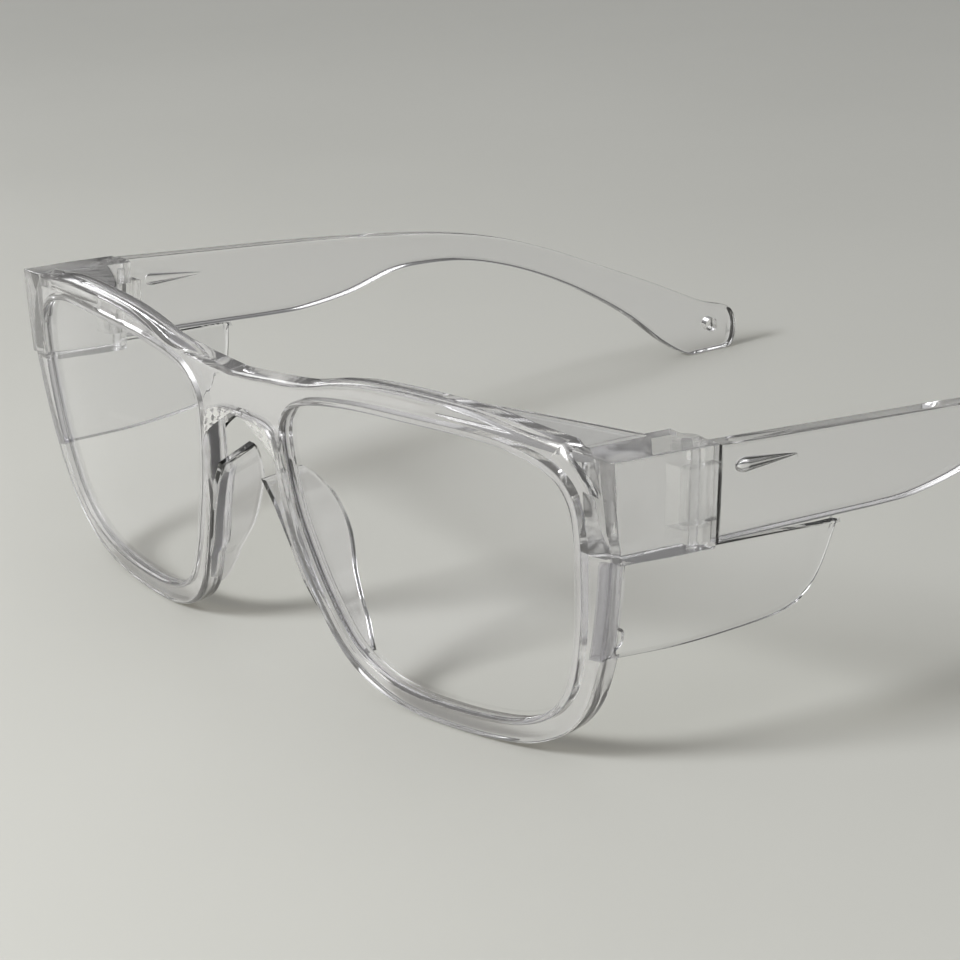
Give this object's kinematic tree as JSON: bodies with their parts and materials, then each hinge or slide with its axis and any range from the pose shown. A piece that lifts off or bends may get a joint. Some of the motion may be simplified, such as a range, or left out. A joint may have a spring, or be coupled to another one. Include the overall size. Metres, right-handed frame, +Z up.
{
  "type": "safety glasses",
  "caption": "Clear safety glasses: square full-rim front with lenses, nose fins and side shields, and folding temples with lanyard holes near the tips.",
  "frame": {"origin": "on the floor under the centre of the overall box, with the glasses standing on the bottoms of the rims and on the undersides of the temple tips", "axes": "+X towards the wearer's left, +Y from the front towards the ears, +Z up. The temples are open."},
  "size_m": [0.1464, 0.1526, 0.0494],
  "materials": {
    "frame_plastic": "crystal-clear polished injection-moulded polycarbonate, faint cool tint at the edges",
    "temple_plastic": "crystal-clear polished injection-moulded polycarbonate, faint cool tint at the edges",
    "lens_plastic": "optically clear hard-coated polycarbonate lens",
    "pad_plastic": "clear polished moulded nose fin",
    "shield_plastic": "thin clear polished moulded shield",
    "pin_plastic": "clear smooth plastic pin"
  },
  "bodies": {
    "frame": {"front_frame": "frame_plastic", "lens_left": "lens_plastic", "lens_right": "lens_plastic", "nose_pad_left": "pad_plastic", "nose_pad_right": "pad_plastic", "side_shield_left": "shield_plastic", "side_shield_right": "shield_plastic", "hinge_pin_left": "pin_plastic", "hinge_pin_right": "pin_plastic"},
    "temple_left": {"temple_left": "temple_plastic"},
    "temple_right": {"temple_right": "temple_plastic"}
  },
  "joints": [
    {"name": "temple_left_fold", "type": "hinge", "parent": "frame", "child": "temple_left", "pos_m": [0.0686, -0.05305, 0.03717], "axis": [0, 0.1115, 0.9938], "range_deg": [0, 85]},
    {"name": "temple_right_fold", "type": "hinge", "parent": "frame", "child": "temple_right", "pos_m": [-0.0686, -0.05305, 0.03717], "axis": [0, -0.1115, -0.9938], "range_deg": [0, 80]}
  ]
}
